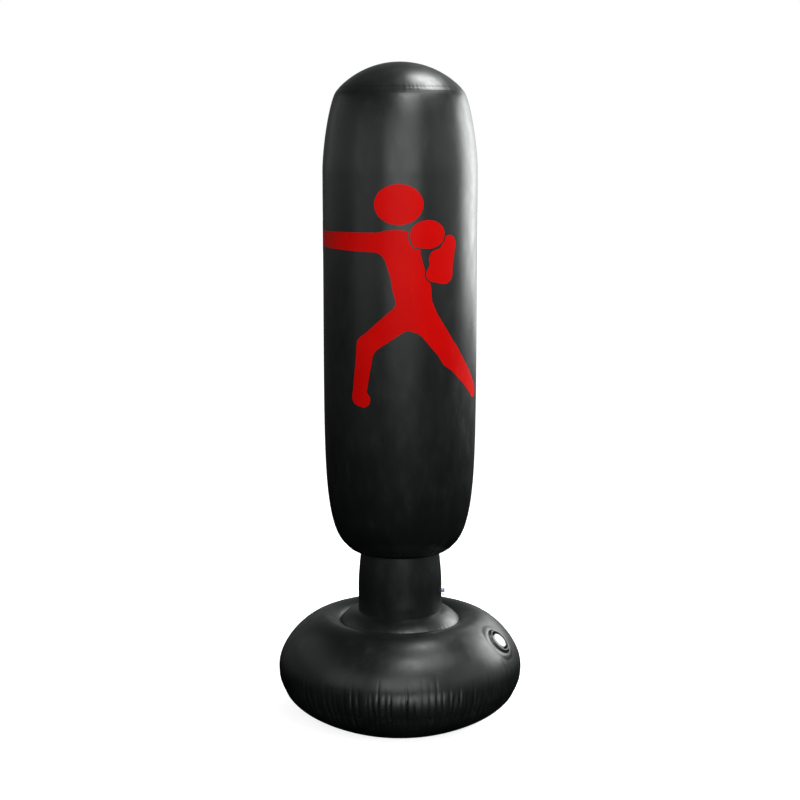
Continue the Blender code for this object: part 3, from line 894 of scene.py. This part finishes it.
def upper_relief(angle, points):
    height = points[:, 1:]
    ring = run_from(points, 0)
    seam = run_from(points, -1)
    calm = smooth_step(0.0, 0.04, ring) * smooth_step(0.0, 0.05, seam)
    made = BASE_WANDER(angle, height) * calm + PLEATS(angle, seam) + RING_GATHERS(angle, ring)
    return made + tuck(seam, BASE_TUCK, BASE_TUCK_WIDTH) + tuck(ring, RING_TUCK, 0.005)


def lower_relief(angle, points):
    seam = run_from(points, 0)
    hold = smooth_step(0.0, 0.025, points[:, 1:])
    return (PLEATS(angle, seam * 1.6) + tuck(seam, BASE_TUCK, BASE_TUCK_WIDTH)) * hold


def base_outline():
    """The base from its ring weld to its foot, eased where it is widest."""
    lip = base_lip(np.linspace(0, 1, 120))
    top = base_top(np.linspace(0, math.pi / 2, 900))[1:]
    side = base_side(np.linspace(0, 1, 500))[1:]
    points = respaced(np.vstack([lip, top, side]), OUTLINE_POINTS)
    step = np.hypot(*(points[1] - points[0]))
    reach = int(3 * BASE_EASE / step)
    weight = np.exp(-0.5 * (np.arange(-reach, reach + 1) * step / BASE_EASE) ** 2)
    padded = np.pad(points, ((reach, reach), (0, 0)), "edge")
    eased = np.stack([np.convolve(padded[:, k], weight / weight.sum(), "valid")
                      for k in (0, 1)], 1)
    height = points[:, 1:]
    share = smooth_step(*EASE_STARTS, height) * (1 - smooth_step(*EASE_ENDS, height))
    share = share * (np.arange(len(points)) > LIP_POINTS)[:, None]
    eased[:, 0] += BASE_RADIUS - eased[:, 0].max()
    return points + (eased - points) * share


def make_base():
    outline = base_outline()
    above = outline[outline[:, 1] > BASE_SEAM]
    below = outline[outline[:, 1] < BASE_SEAM]
    outer = outline[PAST_CREST:]
    seam = np.array([[np.interp(-BASE_SEAM, -outer[:, 1], outer[:, 0]), BASE_SEAM]])
    points = respaced(np.vstack([above, seam]), 128)
    points[-1, 1] += CLEARANCE / 2
    verts, faces = turned_grid(points, even_angles(BASE_STEPS), upper_relief, UP, OUT)
    verts, faces = lipped_hole(verts, faces, FILLER_PLACE)
    show("base_upper_skin", film_mesh("base_upper_skin", verts, faces),
         LOOKS["black_film"], "base", ["base_upper_panel"])

    side = respaced(np.vstack([seam, below]), 44)
    side[0, 1] -= CLEARANCE / 2
    floor = np.stack([np.linspace(side[-1, 0], 0, 9)[1:], np.zeros(8)], 1)
    points = np.vstack([side, floor])
    verts, faces = turned_grid(points, even_angles(BASE_STEPS), lower_relief, top=OUT)
    show("base_lower_skin", film_mesh("base_lower_skin", verts, faces),
         LOOKS["black_film"], "base", ["base_lower_panel"])

    points = respaced(collar_outline(np.linspace(0, 1, 400)), 40)
    points[0, 1] -= CLEARANCE / 2

    def collar_relief(angle, points):
        ring = run_from(points, -1)
        hold = smooth_step(0.0, 0.01, run_from(points, 0))
        return (tuck(ring, RING_TUCK, 0.004) + RING_GATHERS(angle, ring)) * hold

    verts, faces = turned_grid(points, even_angles(BASE_STEPS), collar_relief, OUT, UP)
    show("collar_skin", film_mesh("collar_skin", verts, faces),
         LOOKS["black_film"], "base", ["collar_panel"])


# ---- the water filler, as profiles of (radius, height) about its axis ----
SPOUT_RADIUS = 0.0150
SPOUT_HOLE = 0.0153
BORE_RADIUS = 0.0115
FLANGE_DEPTH = 0.0125
RECESS_DEPTH = 0.0105
LID_RADIUS = 0.0190
SKIRT_RADIUS = 0.0180
STRAP_START, STRAP_SWEEP = 60, 120
STRAP_ENDS = (0.0214, 0.0240)
STRAP_RADIUS = 0.0008
CAP_SINK = 0.0045
SUNK_PLACE = FILLER_PLACE @ Matrix.Translation((0, 0, -CAP_SINK))
THREAD_PITCH = 0.0030
THREAD_DEPTH = 0.0007
GRIP_DEPTH = 0.0007
GRIPS = 32


def make_filler():
    """The flange, spout and seal, and the cap with its retaining ring and strap."""
    grey, white = LOOKS["valve_grey"], LOOKS["valve_white"]
    profile = [(RECESS_RADIUS, 0.0), (FLANGE_RADIUS, -0.0036), (FLANGE_RADIUS, -FLANGE_DEPTH),
               (SPOUT_HOLE, -FLANGE_DEPTH), (SPOUT_HOLE, -RECESS_DEPTH),
               (RECESS_RADIUS, -RECESS_DEPTH)]
    mesh = turned_solid("filler_rim", rounded(profile, 0.0012, 5, True), FILLER_PLACE, 144, True)
    show("filler_rim", mesh, grey, "base", ["filler_flange"])

    def thread(angle, points):
        """One start of rounded thread on the spout's outer side, above its foot."""
        outer = (points[:, :1] > 0.0146) & (points[:, :1] < 0.0152)
        window = smooth_step(-0.0070, -0.0060, points[:, 1:]) * \
            (1 - smooth_step(0.0016, 0.0026, points[:, 1:]))
        wave = 0.5 + 0.5 * np.cos(TAU * (points[:, 1:] / THREAD_PITCH) - angle)
        return -THREAD_DEPTH * outer * window * wave ** 2

    rise = [(SPOUT_RADIUS, z) for z in np.linspace(0.003, -0.0080, 46)]
    profile = [*rise, (SPOUT_RADIUS, -0.0083), (0.0220, -0.0083), (0.0220, -0.0096),
               (SPOUT_RADIUS, -0.0096), (SPOUT_RADIUS, -0.0180), (BORE_RADIUS, -0.0180),
               (BORE_RADIUS, 0.0030)]
    mesh = turned_solid("filler_neck", rounded(profile, 0.0004, 2, True), SUNK_PLACE, 120,
                        True, thread)
    show("filler_neck", mesh, white, "base", ["filler_spout"])

    profile = [(0.0147, 0.0048), (0.0147, 0.0033), (0.0118, 0.0033), (0.0118, 0.0048)]
    mesh = turned_solid("filler_gasket", rounded(profile, 0.0006, 5, True), SUNK_PLACE, 120,
                        True)
    show("filler_gasket", mesh, LOOKS["seal_rubber"], "cap", ["filler_seal"])

    def knurl(angle, points):
        """Finger grips round the cap's rim."""
        outer = smooth_step(0.0184, 0.0188, points[:, :1])
        window = smooth_step(0.0030, 0.0038, points[:, 1:]) * \
            (1 - smooth_step(0.0066, 0.0078, points[:, 1:]))
        wave = np.clip(0.5 + 0.9 * np.cos(GRIPS * angle), 0, 1)
        return -GRIP_DEPTH * outer * window * wave

    side = [(LID_RADIUS, z) for z in np.linspace(0.0070, 0.0030, 14)]
    profile = [(0.0, 0.00795), (0.0116, 0.00795), (0.0122, 0.0085), (0.0175, 0.0085), *side,
               (SKIRT_RADIUS, 0.0030), (SKIRT_RADIUS, -0.0032), (0.0154, -0.0032),
               (0.0154, 0.0051), (0.0, 0.0051)]
    mesh = turned_solid("filler_lid", rounded(profile, 0.0007, 4), SUNK_PLACE, 256,
                        relief=knurl)
    show("filler_lid", mesh, white, "cap", ["filler_cap"])

    profile = [(0.0203, -0.0006), (0.0203, -0.0026), (0.0183, -0.0026), (0.0183, -0.0006)]
    mesh = turned_solid("filler_retainer", rounded(profile, 0.0006, 4, True), SUNK_PLACE, 120,
                        True)
    show("filler_retainer", mesh, grey, "cap_retainer", ["filler_tether_ring"])

    path = []
    for share in np.linspace(0, 1, 33):
        angle = math.radians(STRAP_START + STRAP_SWEEP * share)
        radius = STRAP_ENDS[0] + (STRAP_ENDS[1] - STRAP_ENDS[0]) * share
        path.append((radius * math.cos(angle), radius * math.sin(angle), -0.0016))
    mesh = cord_mesh("filler_retainer_strap", path, STRAP_RADIUS, SUNK_PLACE)
    piece = show("filler_retainer_strap", mesh, grey,
                 replaces=["filler_tether_strap"])
    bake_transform(piece)


# ---- the air valve, as profiles of (radius, height) about its axis ----
AIR_BORE = 0.0036
AIR_RIM, AIR_FOOT = 0.0055, -0.0090
AIR_WELD_RADIUS = 0.0120
AIR_WELD_THICKNESS = 0.0012
PLUG_RADIUS = 0.0065
SHANK_RADIUS = 0.0033
PLUG_STRAP = 0.0009


def make_air_valve():
    """The stem welded inside the neck, its plug, and the strap between them."""
    clear = LOOKS["valve_clear"]
    inner = NECK_RADIUS - FILM
    face = -FILM - inner + math.sqrt(inner ** 2 - AIR_WELD_RADIUS ** 2)
    face -= 4 * CLEARANCE
    back = face - AIR_WELD_THICKNESS
    profile = [(AIR_RADIUS, AIR_RIM), (AIR_RADIUS, 0.0040), (0.0046, 0.0036), (0.0046, 0.0012),
               (AIR_RADIUS, 0.0008), (AIR_RADIUS, face), (AIR_WELD_RADIUS, face),
               (AIR_WELD_RADIUS, back), (AIR_RADIUS, back), (AIR_RADIUS, AIR_FOOT),
               (AIR_BORE, AIR_FOOT), (AIR_BORE, AIR_RIM)]
    mesh = turned_solid("air_stem", rounded(profile, 0.0004, 3, True), AIR_PLACE, 72, True)
    show("air_stem", mesh, clear, "base", ["air_valve_stem"])

    def grip(angle, points):
        """Small grips round the plug's head."""
        outer = smooth_step(0.0060, 0.0064, points[:, :1])
        return -0.00035 * outer * (0.5 + 0.5 * np.cos(16 * angle))

    profile = [(0.0, 0.0074), (0.0036, 0.0074), (0.0040, 0.0080), (0.0055, 0.0080),
               (PLUG_RADIUS, 0.0070), (PLUG_RADIUS, 0.0058), (SHANK_RADIUS, 0.0058),
               (SHANK_RADIUS, 0.0032), (0.0031, 0.0028), (SHANK_RADIUS, 0.0024),
               (0.0030, 0.0008), (0.0, 0.0008)]
    mesh = turned_solid("air_plug", rounded(profile, 0.0004, 3), AIR_PLACE, 96, relief=grip)
    show("air_plug", mesh, clear, "stopper", ["air_valve_plug"])

    low, high = PLUG_STRAP + 0.0018, AIR_RIM + CLEARANCE + 0.0011
    middle, bend = (low + high) / 2, (high - low) / 2
    level = PLUG_RADIUS + CLEARANCE + PLUG_STRAP
    path = [(-x, 0.0, low) for x in np.linspace(0.0062, level, 5)[:-1]]
    for angle in np.linspace(-math.pi / 2, math.pi / 2, 25):
        path.append((-level - 0.0045 * math.cos(angle), 0.0, middle + bend * math.sin(angle)))
    mesh = cord_mesh("air_plug_strap", path, PLUG_STRAP, AIR_PLACE)
    piece = show("air_plug_strap", mesh, clear, replaces=["air_valve_strap"])
    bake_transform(piece)


# ---- floor, light and camera ----
WALL_LIGHT = 0.34
ROOM_COLOUR = (0.95, 1.0, 0.98, 1)
LAMP_COLOUR = (0.97, 1.0, 0.985)
WIDE = 180
# name, place, target, (width, height), radiance, spread in degrees
LAMPS = (
    ("side_panel", (2.29, 1.43, 1.56), (0, 0, 1.56), (1.86, 1.42), 7.2, WIDE),
    ("side_wing", (1.35, 2.34, 1.5), (0, 0, 1.5), (0.9, 1.8), 2.0, WIDE),
    ("overhead_back", (0.45, 0.15, 2.40), (0.05, -0.1, 1.5), (0.56, 0.48), 16.0, WIDE),
    ("right_high", (2.2, -1.55, 4.5), (0.1, -0.2, 0.6), (2.4, 2.0), 3.3, WIDE),
    ("right_soft", (2.82, -1.03, 1.75), (0, 0, 1.5), (2.6, 1.5), 0.7, WIDE),
    ("front_spot", (0.46, -1.6, 2.85), (0, 0, 1.3), (0.75, 0.70), 12.0, WIDE),
    ("front_soft", (0.20, -3.0, 1.70), (0, 0, 1.2), (2.7, 1.7), 2.5, WIDE),
    ("front_left", (-2.4, -2.0, 1.6), (0, 0, 1.0), (2.0, 1.8), 0.65, WIDE),
    ("left_soft", (-2.6, 0.4, 1.85), (0, 0, 1.6), (4.2, 1.5), 0.28, WIDE),
    ("front_low", (0.14, -0.58, 0.06), (0.08, -0.3, 0.06), (0.66, 0.11), 0.78, 70),
)
FLOOR_HALF = 30.0
FLOOR_DROP = 0.0005
LENS = 77.1
CAMERA_PLACE = (0, -4.1137, 1.4163)
CAMERA_DIP = 0.1504


def area_light(name, place, target, size, radiance, spread):
    """A panel of light at place that faces target."""
    data = bpy.data.lights.new(name, "AREA")
    data.shape = "RECTANGLE"
    data.size, data.size_y = size
    data.energy = radiance * math.pi * size[0] * size[1]
    data.color = LAMP_COLOUR
    data.spread = math.radians(spread)
    lamp = bpy.data.objects.new(name, data)
    lamp.location = place
    lamp.rotation_mode = "QUATERNION"
    lamp.rotation_quaternion = (Vector(place) - Vector(target)).to_track_quat("Z", "Y")
    lamp.visible_camera = False
    bpy.context.scene.collection.objects.link(lamp)


def make_stage():
    """A white floor with a painted glow, fainter round the tower, a dim room that the camera doesn't
    see, and the lamps.
    """
    mesh = bpy.data.meshes.new("floor")
    corners = [(x * FLOOR_HALF, y * FLOOR_HALF, 0) for x, y in ((-1, -1), (1, -1), (1, 1), (-1, 1))]
    mesh.from_pydata(corners, [], [(0, 1, 2, 3)])
    look, tree, shader, place = material("floor_look", (0.92, 0.92, 0.92), 0.9)
    shader.inputs["Specular IOR Level"].default_value = 0.0
    shader.inputs["Emission Color"].default_value = (1, 1, 1, 1)
    away = tree.nodes.new("ShaderNodeVectorMath")
    away.operation = "LENGTH"
    tree.links.new(place, away.inputs[0])
    # Painted light: the floor glows white by itself, at 0.8 near the tower rising to full beyond 1.3
    # m, so the lamps' shadow still shows by the base.
    glow = ranged(tree, away.outputs["Value"], 0.35, 1.3, 0.80, 1.0)
    tree.links.new(glow, shader.inputs["Emission Strength"])
    mesh.materials.append(look)
    floor = bpy.data.objects.new("floor", mesh)
    floor.location.z = -FLOOR_DROP
    floor.visible_glossy = False
    floor.visible_diffuse = False
    bpy.context.scene.collection.objects.link(floor)

    world = bpy.data.worlds.new("studio")
    bpy.context.scene.world = world
    world.use_nodes = True
    tree = world.node_tree
    nodes, links = tree.nodes, tree.links
    room = nodes["Background"]
    room.inputs["Color"].default_value = ROOM_COLOUR
    split = nodes.new("ShaderNodeSeparateXYZ")
    links.new(nodes.new("ShaderNodeTexCoord").outputs["Generated"], split.inputs[0])
    walls = ranged(tree, split.outputs["Z"], -0.26, 0.12, 0.0, WALL_LIGHT)
    ceiling = ranged(tree, split.outputs["Z"], 0.25, 0.75, 1.0, 0.38)
    darker_left = ranged(tree, split.outputs["X"], -0.6, 0.3, 0.35, 1.0)
    glow = product(tree, product(tree, walls, ceiling), darker_left)
    links.new(glow, room.inputs["Strength"])
    paper = nodes.new("ShaderNodeBackground")
    paper.inputs["Color"].default_value = (1, 1, 1, 1)
    paper.inputs["Strength"].default_value = 1.0
    path = nodes.new("ShaderNodeLightPath")
    choice = nodes.new("ShaderNodeMixShader")
    links.new(path.outputs["Is Camera Ray"], choice.inputs[0])
    links.new(room.outputs[0], choice.inputs[1])
    links.new(paper.outputs[0], choice.inputs[2])
    links.new(choice.outputs[0], nodes["World Output"].inputs["Surface"])
    for lamp in LAMPS:
        area_light(*lamp)


def make_camera():
    data = bpy.data.cameras.new("camera")
    data.sensor_width = 36
    data.lens = LENS
    camera = bpy.data.objects.new("camera", data)
    camera.location = CAMERA_PLACE
    camera.rotation_euler = (math.pi / 2 - CAMERA_DIP, 0, 0)
    bpy.context.scene.collection.objects.link(camera)
    bpy.context.scene.camera = camera
    bpy.context.scene.view_settings.view_transform = "Standard"


make_camera()
make_stage()
make_column()
make_print()
make_neck()
make_base()
make_filler()
make_air_valve()
